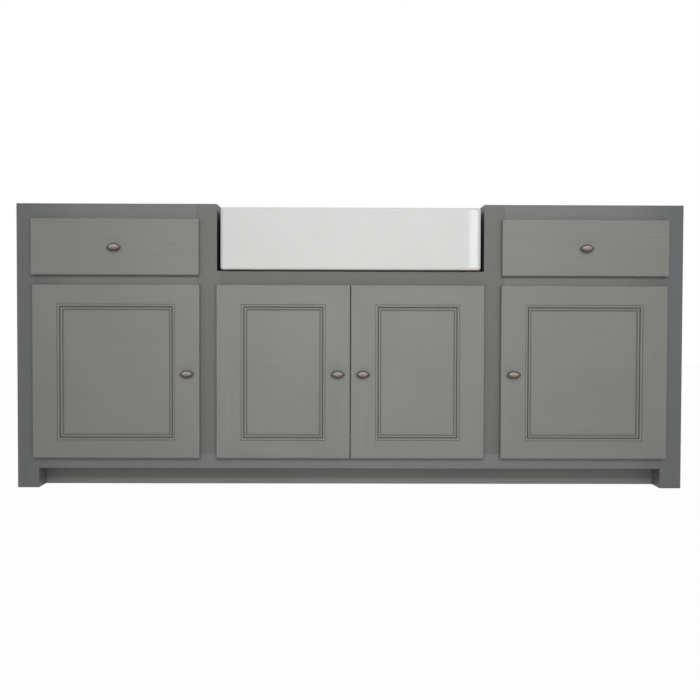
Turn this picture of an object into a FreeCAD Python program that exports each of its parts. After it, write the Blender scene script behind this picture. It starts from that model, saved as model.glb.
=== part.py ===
import FreeCAD, Part
import Sketcher
import math
import os
from types import SimpleNamespace

# Kitchen sink cabinet with a face frame: four overlay doors, two drawers and an apron sink.
# X runs to the right, the front faces -Y, Z is up. The origin lies on the floor, in the middle of the
# box that the whole cabinet fills. The right half is drawn, and the left half is its mirror image.

SIZES = {
    # Overall
    "cabinet_width": 2040,
    "cabinet_height": 870,
    "carcass_depth": 570,
    # Carcass boards
    "panel_thick": 18,
    "back_thick": 6,
    "plinth_setback": 85,
    "rear_rail_width": 80,
    "stretcher_width": 80,
    "bearer_width": 95,
    "bearer_height": 44,
    "bearer_setback": 30,
    "service_width": 130,
    "service_height": 260,
    "service_lift": 60,
    "service_bar_width": 60,
    # Shelves on pins
    "shelf_setback": 40,
    "shelf_play": 1,
    "pin_radius": 2.5,
    "pin_play": 0.1,
    "pin_reach": 8,
    "pin_hole_depth": 11,
    "pin_pitch": 32,
    "pin_column_inset": 70,
    # Fixing holes
    "wall_hole_radius": 3.25,
    "wall_hole_inset": 80,
    "worktop_hole_radius": 2.5,
    "worktop_hole_inset": 90,
    # Face frame
    "frame_thick": 22,
    "end_stile_width": 65,
    "inner_stile_width": 76.3,
    "toe_height": 60,
    "bottom_rail_width": 47,
    "middle_rail_width": 55,
    "drawer_opening_height": 145,
    "top_rail_width": 60,
    # Sink
    "sink_width": 795,
    "sink_drop": 11,
    "sink_proud": 20,
    "sink_lap": 1.8,
    "sink_side_gap": 11.5,
    "sink_rail_gap": 4,
    "sink_back_gap": 66,
    "sink_wall": 25,
    "sink_corner_radius": 12,
    "sink_rim_radius": 8,
    "bowl_corner_radius": 30,
    "bowl_floor_radius": 18,
    "waste_radius": 45,
    "waste_seat_radius": 56,
    "waste_seat_depth": 6,
    # Doors and drawer fronts
    "front_thick": 22,
    "front_gap": 2.5,
    "front_overlay": 13,
    "drawer_inner_overlay": 10.5,
    "drawer_outer_overlay": 16.5,
    "arris_radius": 3,
    "meeting_gap": 2,
    "door_stile_width": 75,
    "door_top_rail_width": 59,
    "door_bottom_rail_width": 54,
    "panel_recess": 9.5,
    "panel_board_thick": 6,
    "groove_depth": 8,
    "panel_float": 1,
    "moulding_width": 18.5,
    "bumper_width": 8,
    "bumper_play": 0.3,
    "bumper_inset": 30,
    # Cup hinges
    "hinge_inset": 90,
    "cup_radius": 17.5,
    "cup_edge": 3,
    "cup_wall": 1,
    "cup_play": 0.1,
    "cup_side_room": 1.7,
    "cup_floor_room": 1.2,
    "hinge_pin_radius": 1.25,
    "hinge_pin_play": 0.05,
    "hinge_pin_depth": 8.5,
    "wing_length": 54,
    "wing_width": 16,
    "eye_wall": 1.5,
    "arm_width": 10,
    "arm_metal": 2.4,
    "arm_reach": 12,
    "arm_entry": 4.8,
    "arm_bend_radius": 1,
    "arm_plate_height": 45,
    "arm_plate_margin": 2.5,
    "arm_hole_radius": 2.1,
    "arm_hole_spacing": 30,
    # Knobs
    "knob_projection": 26,
    "knob_width": 44,
    "knob_bow_radius": 26.8,
    "knob_foot_radius": 8.5,
    "knob_foot_thick": 3,
    "knob_neck_radius": 5,
    "knob_edge_inset": 37.5,
    "knob_drop": 7,
    # Drawers
    "drawer_side_thick": 15,
    "drawer_lift": 10,
    "drawer_head_room": 15,
    "drawer_back_gap": 78.5,
    "drawer_bottom_thick": 6,
    "drawer_bottom_rise": 12,
    "drawer_groove_depth": 7,
    "dovetail_pin": 8,
    "dovetail_flare": 2,
    # Telescopic runners
    "runner_space": 12.7,
    "runner_height": 45,
    "runner_metal": 1.2,
    "runner_play": 0.3,
    "runner_front_gap": 5.5,
    "runner_back_gap": 14.5,
    "packer_height": 70,
}

PIN_ROWS = 3
DOVETAILS = 3
NEAR = 0.01
# Where the two holes of a pair lie, as shares of the distance between them
HOLE_PAIR_SHARES = (-0.5, 0.5)

doc = FreeCAD.newDocument("kitchen_cabinet")
sheet = doc.addObject("Spreadsheet::Sheet", "Sizes")
for row, (alias, number) in enumerate(SIZES.items(), start=1):
    sheet.set(f"A{row}", alias)
    sheet.set(f"B{row}", str(number))
    sheet.setAlias(f"B{row}", alias)
doc.recompute()


class Size:
    """A length as a formula of the named sizes, with what it comes to in millimetres."""

    def __init__(self, formula, value):
        self.formula = formula
        self.value = value

    def joined(self, sign, other, value):
        other_formula = other.formula if isinstance(other, Size) else str(other)
        return Size(f"({self.formula} {sign} {other_formula})", value)

    def __add__(self, other):
        return self.joined("+", other, self.value + value_of(other))

    def __sub__(self, other):
        return self.joined("-", other, self.value - value_of(other))

    def __mul__(self, number):
        return self.joined("*", number, self.value * number)

    def __truediv__(self, number):
        return self.joined("/", number, self.value / number)

    def __neg__(self):
        return Size(f"(0 - {self.formula})", -self.value)


def value_of(length):
    return length.value if isinstance(length, Size) else length


def bind(thing, place, length):
    """Ties one property to the named sizes. A plain zero stays zero."""
    if isinstance(length, Size):
        thing.setExpression(place, length.formula)


size = SimpleNamespace(**{alias: Size(f"Sizes.{alias}", number) for alias, number in SIZES.items()})


# Pieces made of simple solids

def place(thing, x=0, y=0, z=0):
    for axis, length in zip("xyz", (x, y, z)):
        bind(thing, f"Placement.Base.{axis}", length)
    return thing


def board(name, x, y, z):
    """A square-edged board between two places along each axis."""
    box = doc.addObject("Part::Box", name)
    for side, (low, high) in zip(("Length", "Width", "Height"), (x, y, z)):
        bind(box, side, high - low)
    return place(box, x[0], y[0], z[0])


def turned(thing, axis):
    """Lays a solid that stands along Z along another axis."""
    if axis == "x":
        thing.Placement.Rotation = FreeCAD.Rotation(FreeCAD.Vector(0, 1, 0), 90)
    if axis == "y":
        thing.Placement.Rotation = FreeCAD.Rotation(FreeCAD.Vector(-1, 0, 0), 90)
    return thing


def rod(name, axis, start, radius, length):
    """A round bar that starts at a place and runs up its axis."""
    cylinder = doc.addObject("Part::Cylinder", name)
    bind(cylinder, "Radius", radius)
    bind(cylinder, "Height", length)
    return place(turned(cylinder, axis), *start)


def group(name, pieces):
    """Separate solids that share a name."""
    compound = doc.addObject("Part::Compound", name)
    compound.Links = pieces
    return compound


def copied(name, piece, x=0, y=0, z=0):
    return place(group(name, [piece]), x, y, z)


def cut(name, piece, tools):
    result = doc.addObject("Part::Cut", name)
    result.Base = piece
    result.Tool = group(f"{name}_tools", tools)
    return result


def fused(name, pieces):
    result = doc.addObject("Part::MultiFuse", name)
    result.Shapes = pieces
    result.Refine = True
    return result


def mirrored(name, piece, plane_x=0):
    """The mirror image across an upright plane that faces X."""
    result = doc.addObject("Part::Mirroring", name)
    result.Source = piece
    result.Normal = FreeCAD.Vector(1, 0, 0)
    bind(result, "Base.x", plane_x)
    return result


# Pieces drawn as outlines

def new_body(name):
    return doc.addObject("PartDesign::Body", name)


def new_sketch(body, name, role, offset):
    sketch = body.newObject("Sketcher::SketchObject", name)
    plane = next(feature for feature in body.Origin.OriginFeatures if feature.Role == role)
    sketch.AttachmentSupport = (plane, [""])
    sketch.MapMode = "FlatFace"
    bind(sketch, "AttachmentOffset.Base.z", offset)
    return sketch


def tie_point(sketch, edge, end, point):
    for kind, length in zip(("DistanceX", "DistanceY"), point):
        index = sketch.addConstraint(Sketcher.Constraint(kind, -1, 1, edge, end, value_of(length)))
        if isinstance(length, Size):
            sketch.setExpression(f"Constraints[{index}]", length.formula)


def arc_between(start, end, radius):
    """The arc that swells outward from an outline traced anticlockwise."""
    middle = (start + end) / 2
    half = (end - start) / 2
    rise = math.sqrt(max(radius ** 2 - half.Length ** 2, 0))
    inward = FreeCAD.Vector(-half.y, half.x, 0).normalize()
    centre = middle + inward * rise
    first = math.atan2(start.y - centre.y, start.x - centre.x)
    last = math.atan2(end.y - centre.y, end.x - centre.x)
    if last < first:
        last += 2 * math.pi
    circle = Part.Circle(centre, FreeCAD.Vector(0, 0, 1), radius)
    return Part.ArcOfCircle(circle, first, last)


def outline(body, name, role, corners, offset=0, arcs=()):
    """A closed outline, traced anticlockwise. arcs gives the radius of each side that is round."""
    sketch = new_sketch(body, name, role, offset)
    round_sides = dict(arcs)
    points = [FreeCAD.Vector(value_of(x), value_of(y), 0) for x, y in corners]
    count = len(points)
    for side in range(count):
        ends = points[side], points[(side + 1) % count]
        if side in round_sides:
            sketch.addGeometry(arc_between(*ends, value_of(round_sides[side])))
        else:
            sketch.addGeometry(Part.LineSegment(*ends))
    for side in range(count):
        sketch.addConstraint(Sketcher.Constraint("Coincident", side, 2, (side + 1) % count, 1))
    for side, corner in enumerate(corners):
        tie_point(sketch, side, 1, corner)
    for side, radius in round_sides.items():
        index = sketch.addConstraint(Sketcher.Constraint("Radius", side, value_of(radius)))
        bind(sketch, f"Constraints[{index}]", radius)
    return sketch


def circles(body, name, role, centres, radius, offset=0):
    sketch = new_sketch(body, name, role, offset)
    for number, centre in enumerate(centres):
        middle = FreeCAD.Vector(value_of(centre[0]), value_of(centre[1]), 0)
        sketch.addGeometry(Part.Circle(middle, FreeCAD.Vector(0, 0, 1), value_of(radius)))
        index = sketch.addConstraint(Sketcher.Constraint("Radius", number, value_of(radius)))
        bind(sketch, f"Constraints[{index}]", radius)
        tie_point(sketch, number, 3, centre)
    return sketch


def rectangle(x, y):
    return [(x[0], y[0]), (x[1], y[0]), (x[1], y[1]), (x[0], y[1])]


def pad(body, sketch, length, reverse=False, both_ways=False):
    feature = body.newObject("PartDesign::Pad", f"{sketch.Name}_pad")
    feature.Profile = sketch
    feature.Reversed = reverse
    feature.Midplane = both_ways
    bind(feature, "Length", length)
    doc.recompute()
    return feature


def pocket(body, sketch, depth, reverse=False, both_ways=False):
    """Cuts an outline into the body, and stops the build if it takes nothing away."""
    before = body.Tip.Shape.Volume
    feature = body.newObject("PartDesign::Pocket", f"{sketch.Name}_pocket")
    feature.Profile = sketch
    feature.Reversed = reverse
    feature.Midplane = both_ways
    bind(feature, "Length", depth)
    doc.recompute()
    if feature.Shape.Volume > before * (1 - 1e-7):
        raise RuntimeError(f"{sketch.Name} cuts nothing")
    return feature


def rounded(body, name, chosen, radius):
    """Rounds the body's edges whose own box passes the test."""
    base = body.Tip
    names = [f"Edge{n}" for n, edge in enumerate(base.Shape.Edges, start=1) if chosen(edge.BoundBox)]
    feature = body.newObject("PartDesign::Fillet", name)
    feature.Base = (base, names)
    bind(feature, "Radius", radius)
    doc.recompute()
    return feature


def near(value, length):
    return abs(value - value_of(length)) < NEAR


def along(box, axis):
    """Whether an edge's box runs along one axis only."""
    spans = {"x": box.XLength, "y": box.YLength, "z": box.ZLength}
    return spans.pop(axis) > NEAR and max(spans.values()) < NEAR


# Places that the whole cabinet shares

half_width = size.cabinet_width / 2
end_panel_x = half_width - size.panel_thick
end_stile_x = half_width - size.end_stile_width
bay_x = size.sink_width / 2 - size.sink_lap
side_opening_x = bay_x + size.inner_stile_width
partition_x = side_opening_x - size.panel_thick
partition_middle_x = side_opening_x - size.panel_thick / 2

knob_reach = size.front_gap + size.front_thick + size.knob_projection
face_y = (knob_reach - size.carcass_depth) / 2
frame_back_y = face_y + size.frame_thick
back_y = face_y + size.carcass_depth
back_panel_y = back_y - size.back_thick
rear_rail_y = back_panel_y - size.panel_thick
plinth_y = face_y + size.plinth_setback
front_back_y = face_y - size.front_gap
front_y = front_back_y - size.front_thick

top_z = size.cabinet_height
floor_top_z = size.toe_height + size.bottom_rail_width
floor_z = floor_top_z - size.panel_thick
top_rail_z = top_z - size.top_rail_width
drawer_opening_z = top_rail_z - size.drawer_opening_height
middle_rail_z = drawer_opening_z - size.middle_rail_width
shelf_z = (floor_top_z + middle_rail_z) / 2
rear_rail_z = top_z - size.rear_rail_width

notch_x = size.sink_width / 2 + size.sink_side_gap
sink_z = drawer_opening_z + size.sink_rail_gap
sink_back_y = rear_rail_y - size.sink_back_gap

nodes = []


def keep(name, piece):
    """Names a finished piece, which is one file of the cabinet."""
    piece.Label = name
    nodes.append(piece)
    return piece


def keep_pair(left_name, right_name, piece):
    """Keeps a right-hand piece and its mirror image on the left."""
    keep(right_name, piece)
    keep(left_name, mirrored(f"{left_name}_mirror", piece))


def both_sides(name, piece):
    """Keeps a right-hand piece and its mirror image as one group."""
    keep(name, group(f"{name}_group", [piece, mirrored(f"{name}_mirror", piece)]))


# Carcass

def drilled_side(name, x, y, z, drilled_x, drill_outward):
    """An upright board with two columns of shelf-pin holes in one face."""
    body = new_body(name)
    pad(body, outline(body, f"{name}_outline", "YZ_Plane", rectangle(y, z), x[0]), x[1] - x[0])
    lowest_z = shelf_z - size.pin_radius - size.pin_pitch * ((PIN_ROWS - 1) / 2)
    columns = [frame_back_y + size.pin_column_inset, back_panel_y - size.pin_column_inset]
    radius = size.pin_radius + size.pin_play
    holes = circles(body, f"{name}_holes", "YZ_Plane", [(y, lowest_z) for y in columns], radius, drilled_x)
    drilled = pocket(body, holes, size.pin_hole_depth, reverse=drill_outward)
    rows = body.newObject("PartDesign::LinearPattern", f"{name}_hole_rows")
    rows.Originals = [drilled]
    rows.Direction = (holes, ["V_Axis"])
    rows.Occurrences = PIN_ROWS
    bind(rows, "Length", size.pin_pitch * (PIN_ROWS - 1))
    body.Tip = rows
    doc.recompute()
    return body


def make_sides():
    end_panel = drilled_side(
        "end_panel", (end_panel_x, half_width), (frame_back_y, back_y), (0, top_z),
        end_panel_x, True)
    keep_pair("end_panel_left", "end_panel_right", end_panel)
    partition = drilled_side(
        "partition", (partition_x, side_opening_x), (frame_back_y, back_panel_y), (floor_top_z, top_z),
        side_opening_x, False)
    keep_pair("partition_left", "partition_right", partition)


def make_floor_boards():
    width = (-end_panel_x, end_panel_x)
    keep("base_panel", board("base", width, (frame_back_y, back_panel_y), (floor_z, floor_top_z)))
    plinth = board("plinth", width, (plinth_y, plinth_y + size.panel_thick), (0, floor_z))
    keep("plinth_board", plinth)
    block = board("foot_block", (end_stile_x, end_panel_x), (frame_back_y, plinth_y), (0, floor_z))
    both_sides("foot_blocks", block)


def wall_holes(name, places_x):
    """Drills that run through a rear rail and the back board behind it."""
    middle_z = top_z - size.rear_rail_width / 2
    depth = back_y - rear_rail_y
    return [
        rod(f"{name}_{number}", "y", (x, rear_rail_y, middle_z), size.wall_hole_radius, depth)
        for number, x in enumerate(places_x)]


def make_back():
    side_holes = (side_opening_x + size.wall_hole_inset, end_panel_x - size.wall_hole_inset)
    height = (floor_z, top_z)
    back_span_y = (back_panel_y, back_y)
    side = board("side_back", (partition_middle_x, end_panel_x), back_span_y, height)
    side = cut("side_back_drilled", side, wall_holes("side_back_hole", side_holes))
    both_sides("back_panels", side)
    middle = board("middle_back", (-partition_middle_x, partition_middle_x), back_span_y, height)
    service_z = floor_top_z + size.service_lift
    near_x = size.service_bar_width / 2
    service = board(
        "service_opening", (near_x, near_x + size.service_width), back_span_y,
        (service_z, service_z + size.service_height))
    other_service = mirrored("other_service_opening", service)
    keep("service_back_panel", cut("service_back", middle, [service, other_service]))

    rail_span_y = (rear_rail_y, back_panel_y)
    rail_height = (rear_rail_z, top_z)
    side_rail = board("side_rear_rail", (side_opening_x, end_panel_x), rail_span_y, rail_height)
    side_rail = cut("side_rear_rail_drilled", side_rail, wall_holes("rear_rail_hole", side_holes))
    middle_rail = board("middle_rear_rail", (-partition_x, partition_x), rail_span_y, rail_height)
    left_rail = mirrored("left_rear_rail", side_rail)
    low_rail = board("low_rear_rail", (-end_panel_x, end_panel_x), rail_span_y, (0, floor_z))
    keep("rear_rails", group("rear_rail_boards", [low_rail, left_rail, middle_rail, side_rail]))


def make_stretchers():
    """Boards under the worktop at the front of each side bay, drilled for its screws."""
    low_z = top_z - size.panel_thick
    stretcher = board(
        "stretcher", (side_opening_x, end_panel_x),
        (frame_back_y, frame_back_y + size.stretcher_width), (low_z, top_z))
    middle_y = frame_back_y + size.stretcher_width / 2
    places = (side_opening_x + size.worktop_hole_inset, end_panel_x - size.worktop_hole_inset)
    drills = [
        rod(f"worktop_hole_{number}", "z", (x, middle_y, low_z), size.worktop_hole_radius, size.panel_thick)
        for number, x in enumerate(places)]
    both_sides("worktop_stretchers", cut("stretcher_drilled", stretcher, drills))


def make_shelves():
    shelf_front_y = frame_back_y + size.shelf_setback
    shelf = board(
        "shelf", (side_opening_x + size.shelf_play, end_panel_x - size.shelf_play),
        (shelf_front_y, back_panel_y - size.shelf_play), (shelf_z, shelf_z + size.panel_thick))
    both_sides("shelves", shelf)
    pin_z = shelf_z - size.pin_radius
    length = size.pin_reach * 2
    pins = []
    for side, start_x in (("inner", side_opening_x - size.pin_reach), ("outer", end_panel_x - size.pin_reach)):
        for row, y in enumerate((frame_back_y + size.pin_column_inset, back_panel_y - size.pin_column_inset)):
            pins.append(rod(f"shelf_pin_{side}_{row}", "x", (start_x, y, pin_z), size.pin_radius, length))
    both_sides("shelf_pins", group("right_shelf_pins", pins))


# Face frame

def make_frame():
    depth = (face_y, frame_back_y)
    end_stile = board("end_stile", (end_stile_x, half_width), depth, (0, top_z))
    keep_pair("end_stile_left", "end_stile_right", end_stile)

    inner_stile = new_body("inner_stile")
    corners = [
        (bay_x, floor_top_z), (side_opening_x, floor_top_z), (side_opening_x, top_z),
        (notch_x, top_z), (notch_x, drawer_opening_z), (bay_x, drawer_opening_z)]
    stile_outline = outline(inner_stile, "inner_stile_outline", "XZ_Plane", corners, -frame_back_y)
    pad(inner_stile, stile_outline, size.frame_thick)
    keep_pair("inner_stile_left", "inner_stile_right", inner_stile)

    bottom = board("bottom", (-end_stile_x, end_stile_x), depth, (size.toe_height, floor_top_z))
    keep("bottom_rail", bottom)
    keep("sink_rail", board("under_sink", (-bay_x, bay_x), depth, (middle_rail_z, drawer_opening_z)))
    side_span_x = (side_opening_x, end_stile_x)
    both_sides("middle_rails", board("middle_rail", side_span_x, depth, (middle_rail_z, drawer_opening_z)))
    both_sides("top_rails", board("top_rail", side_span_x, depth, (top_rail_z, top_z)))


# Sink

def make_sink():
    rim_z = top_z - size.sink_drop
    height = rim_z - sink_z
    apron_y = face_y - size.sink_proud
    half = size.sink_width / 2
    body = new_body("sink_body")
    block = outline(body, "sink_outline", "XY_Plane", rectangle((-half, half), (apron_y, sink_back_y)), sink_z)
    pad(body, block, height)
    rounded(body, "sink_corners", lambda box: along(box, "z"), size.sink_corner_radius)
    outer_ends = (sink_z, rim_z)
    rounded(
        body, "sink_arrises", lambda box: any(near(box.ZMin, z) and near(box.ZMax, z) for z in outer_ends),
        size.sink_rim_radius)

    wall = size.sink_wall
    bowl_x = (wall - half, half - wall)
    bowl_y = (apron_y + wall, sink_back_y - wall)
    bowl = outline(body, "bowl_outline", "XY_Plane", rectangle(bowl_x, bowl_y), rim_z)
    pocket(body, bowl, height - wall)

    def bowl_upright(box):
        return along(box, "z") and any(near(box.XMin, x) for x in bowl_x)

    rounded(body, "bowl_corners", bowl_upright, size.bowl_corner_radius)
    floor_level = sink_z + wall
    rounded(
        body, "bowl_floor", lambda box: near(box.ZMin, floor_level) and near(box.ZMax, floor_level),
        size.bowl_floor_radius)

    middle_y = (apron_y + sink_back_y) / 2
    seat = circles(body, "waste_seat", "XY_Plane", [(0, middle_y)], size.waste_seat_radius, floor_level)
    pocket(body, seat, size.waste_seat_depth)
    outlet = circles(body, "waste_outlet", "XY_Plane", [(0, middle_y)], size.waste_radius, floor_level)
    pocket(body, outlet, wall)
    keep("sink", body)


def make_sink_supports():
    """A bearer under each side of the sink, and a cheek on it that closes the gap beside the sink."""
    bearer = board(
        "bearer", (partition_x - size.bearer_width, partition_x),
        (frame_back_y + size.bearer_setback, sink_back_y), (sink_z - size.bearer_height, sink_z))
    both_sides("sink_bearers", bearer)
    cheek = board("cheek", (notch_x, notch_x + size.panel_thick), (frame_back_y, sink_back_y), (sink_z, top_z))
    both_sides("sink_cheeks", cheek)


# Doors

# The moulding's outline, of two beads with a groove between: shares of its width in from the frame, and
# of its height off the panel.
BEAD_SHARES = [
    (0, 0.72), (0.05, 0.72), (0.05, 0.88), (0.415, 0.66), (0.415, 0.2), (0.525, 0.2), (0.525, 0.54),
    (0.88, 0.3), (0.88, 0.06), (0.95, 0.06), (0.95, 0.22), (1, 0.22), (1, 0), (0, 0)]
BEAD_ROUND_SIDES = (2, 6)
BEAD_RADIUS_SHARE = 0.3


def door_edge_board(name, x, z, groove_y, groove_side, round_test):
    """One board of a door's frame, with its outer edges eased and a groove along its inner edge."""
    body = new_body(name)
    y = (front_y, front_back_y)
    board_outline = outline(body, f"{name}_outline", "XZ_Plane", rectangle(x, z), -y[1])
    pad(body, board_outline, size.front_thick)
    rounded(body, f"{name}_arrises", round_test, size.arris_radius)
    groove_x, groove_z = groove_side
    groove = outline(body, f"{name}_groove", "XZ_Plane", rectangle(groove_x, groove_z), -groove_y[1])
    pocket(body, groove, size.panel_board_thick, reverse=True)
    return body


def door_frame(name, free_x, hinge_x, low_z, high_z, groove_y, hinge_z):
    """Two upright stiles, and two rails with tongues in the stiles' grooves."""
    faces = (front_y, front_back_y)

    def on_a_face(box):
        return any(near(box.YMin, y) and near(box.YMax, y) for y in faces)

    pieces = []
    sides = (("free_stile", free_x, free_x + size.door_stile_width, 1),
             ("hinge_stile", hinge_x - size.door_stile_width, hinge_x, -1))
    for side, left_x, right_x, inward in sides:
        inner_x = right_x if inward == 1 else left_x
        if inward == 1:
            groove_x = (right_x - size.groove_depth, right_x)
        else:
            groove_x = (left_x, left_x + size.groove_depth)

        def stile_arris(box, inner_x=inner_x):
            return on_a_face(box) and not (along(box, "z") and near(box.XMin, inner_x))

        stile = door_edge_board(
            f"{name}_{side}", (left_x, right_x), (low_z, high_z), groove_y,
            (groove_x, (low_z, high_z)), stile_arris)
        pieces.append(stile)
        if side == "hinge_stile":
            cup_x = hinge_x - size.cup_edge - size.cup_radius
            bores = circles(
                stile, f"{name}_cup_bores", "XZ_Plane", [(cup_x, z) for z in hinge_z],
                size.cup_radius + size.cup_play, -front_back_y)
            pocket(stile, bores, cup_depth + size.cup_wall + size.cup_play, reverse=True)

    rail_x = (free_x + size.door_stile_width, hinge_x - size.door_stile_width)
    tongue_x = (rail_x[0] - size.groove_depth, rail_x[1] + size.groove_depth)
    rails = (("bottom_rail", low_z, low_z + size.door_bottom_rail_width, 1),
             ("top_rail", high_z - size.door_top_rail_width, high_z, -1))
    for side, bottom_z, rail_top_z, inward in rails:
        outer_z = bottom_z if inward == 1 else rail_top_z
        if inward == 1:
            groove_z = (rail_top_z - size.groove_depth, rail_top_z)
            tongue_z = (bottom_z, groove_z[0])
        else:
            groove_z = (bottom_z, bottom_z + size.groove_depth)
            tongue_z = (groove_z[1], rail_top_z)

        def rail_arris(box, outer_z=outer_z):
            return on_a_face(box) and along(box, "x") and near(box.ZMin, outer_z)

        rail = door_edge_board(
            f"{name}_{side}", rail_x, (bottom_z, rail_top_z), groove_y, (rail_x, groove_z), rail_arris)
        tongue = outline(
            rail, f"{name}_{side}_tongue", "XZ_Plane", rectangle(tongue_x, tongue_z), -groove_y[1])
        pad(rail, tongue, size.panel_board_thick)
        pieces.append(rail)
    return group(f"{name}_frame_boards", pieces)


def moulding_strip(name, length):
    """One mitred length of bead moulding, lying along X with its back edge on the X axis."""
    body = new_body(name)
    corners = [(size.moulding_width * -inward, size.panel_recess * lift) for inward, lift in BEAD_SHARES]
    arcs = [(side, size.moulding_width * BEAD_RADIUS_SHARE) for side in BEAD_ROUND_SIDES]
    profile = outline(body, f"{name}_profile", "YZ_Plane", corners, 0, arcs)
    pad(body, profile, length, both_ways=True)
    half = length / 2
    mitre = size.moulding_width
    for side, sign in (("left", -1), ("right", 1)):
        end = half * sign
        wedge = [(end, -mitre), (end, 0), (end - mitre * sign, -mitre)]
        if sign < 0:
            wedge = [wedge[0], wedge[2], wedge[1]]
        mitre_outline = outline(body, f"{name}_{side}_mitre", "XY_Plane", wedge)
        pocket(body, mitre_outline, size.panel_recess, reverse=True)
    return body


def moulding_ring(name, x, z, panel_y):
    """Four mitred strips round the inside of a door's frame, seated on its panel."""
    across = moulding_strip(f"{name}_across", x[1] - x[0])
    upright = moulding_strip(f"{name}_upright", z[1] - z[0])
    middle_x = (x[0] + x[1]) / 2
    middle_z = (z[0] + z[1]) / 2
    spots = (("top", across, middle_x, z[1], 0), ("bottom", across, middle_x, z[0], 180),
             ("left", upright, x[0], middle_z, 90), ("right", upright, x[1], middle_z, -90))
    strips = []
    for side, strip, spot_x, spot_z, turn in spots:
        piece = copied(f"{name}_{side}", strip, spot_x, panel_y, spot_z)
        upright_turn = FreeCAD.Rotation(FreeCAD.Vector(0, -1, 0), turn)
        piece.Placement.Rotation = upright_turn * FreeCAD.Rotation(FreeCAD.Vector(1, 0, 0), 90)
        strips.append(piece)
    return group(f"{name}_strips", strips)


def make_door(left_name, right_name, free_x, hinge_x):
    low_z = floor_top_z - size.front_overlay
    high_z = middle_rail_z + size.front_overlay
    hinge_z = (low_z + size.hinge_inset, high_z - size.hinge_inset)
    panel_y = front_y + size.panel_recess
    groove_y = (panel_y, panel_y + size.panel_board_thick)
    frame = door_frame(right_name, free_x, hinge_x, low_z, high_z, groove_y, hinge_z)
    keep_pair(f"{left_name}_frame", f"{right_name}_frame", frame)

    light_x = (free_x + size.door_stile_width, hinge_x - size.door_stile_width)
    light_z = (low_z + size.door_bottom_rail_width, high_z - size.door_top_rail_width)
    hidden = size.groove_depth - size.panel_float
    panel = board(
        f"{right_name}_panel_board", (light_x[0] - hidden, light_x[1] + hidden), groove_y,
        (light_z[0] - hidden, light_z[1] + hidden))
    keep_pair(f"{left_name}_panel", f"{right_name}_panel", panel)
    keep_pair(
        f"{left_name}_moulding", f"{right_name}_moulding",
        moulding_ring(right_name, light_x, light_z, panel_y))

    cups = [copied(f"{right_name}_cup_{number}", hinge_cup, hinge_x, 0, z) for number, z in enumerate(hinge_z)]
    keep_pair(f"{left_name}_hinge_cups", f"{right_name}_hinge_cups", group(f"{right_name}_cups", cups))
    knob_z = (low_z + high_z) / 2 - size.knob_drop
    placed_knob = copied(f"{right_name}_knob_copy", knob, free_x + size.knob_edge_inset, 0, knob_z)
    keep_pair(f"{left_name}_knob", f"{right_name}_knob", placed_knob)

    arms = [copied(f"{right_name}_arm_{number}", hinge_arm, hinge_x, 0, z) for number, z in enumerate(hinge_z)]
    bumper_z = (low_z + size.front_overlay / 2, high_z - size.front_overlay / 2)
    bumpers = [bumper(f"{right_name}_bumper_{number}", free_x + size.bumper_inset, z)
               for number, z in enumerate(bumper_z)]
    return arms, bumpers


def bumper(name, x, z):
    """A soft pad on the frame that a front closes against."""
    thick = size.front_gap - size.bumper_play
    half = size.bumper_width / 2
    return board(name, (x - half, x + half), (face_y - thick, face_y), (z - half, z + half))


# Cup hinges

# A cup pressed into the back of the door, with a pin across it, and a gooseneck arm that turns on the pin,
# leaves by the cup's mouth and ends in a plate on the edge of the face frame's stile.

eye_radius = size.hinge_pin_radius + size.hinge_pin_play + size.eye_wall
cup_depth = size.hinge_pin_depth + eye_radius + size.cup_floor_room
hinge_pin_inset = size.cup_edge + size.cup_wall + eye_radius + size.cup_side_room
hinge_pin_y = front_back_y - size.hinge_pin_depth


def make_hinge_cup():
    """The cup, drawn with the door's hinge edge at X zero and its own centre at Z zero."""
    centre_x = -(size.cup_edge + size.cup_radius)
    outer_depth = cup_depth + size.cup_wall
    bowl = rod("cup_outside", "y", (centre_x, front_back_y - outer_depth, 0), size.cup_radius, outer_depth)
    hollow = rod(
        "cup_inside", "y", (centre_x, front_back_y - cup_depth, 0), size.cup_radius - size.cup_wall,
        cup_depth + size.cup_wall)
    half_length = size.wing_length / 2
    wing_x = (centre_x - size.wing_width / 2, centre_x + size.wing_width / 2)
    wings = board("cup_wings", wing_x, (front_back_y, front_back_y + size.cup_wall), (-half_length, half_length))
    cup = cut("cup_with_wings", fused("cup_blank", [bowl, wings]), [hollow])
    long_pin = rod(
        "cup_pin", "z", (-hinge_pin_inset, hinge_pin_y, -size.cup_radius), size.hinge_pin_radius,
        size.cup_radius * 2)
    pin = doc.addObject("Part::Common", "cup_pin_in_cup")
    pin.Base = long_pin
    pin.Tool = bowl
    return fused("cup_with_pin", [cup, pin])


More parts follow.
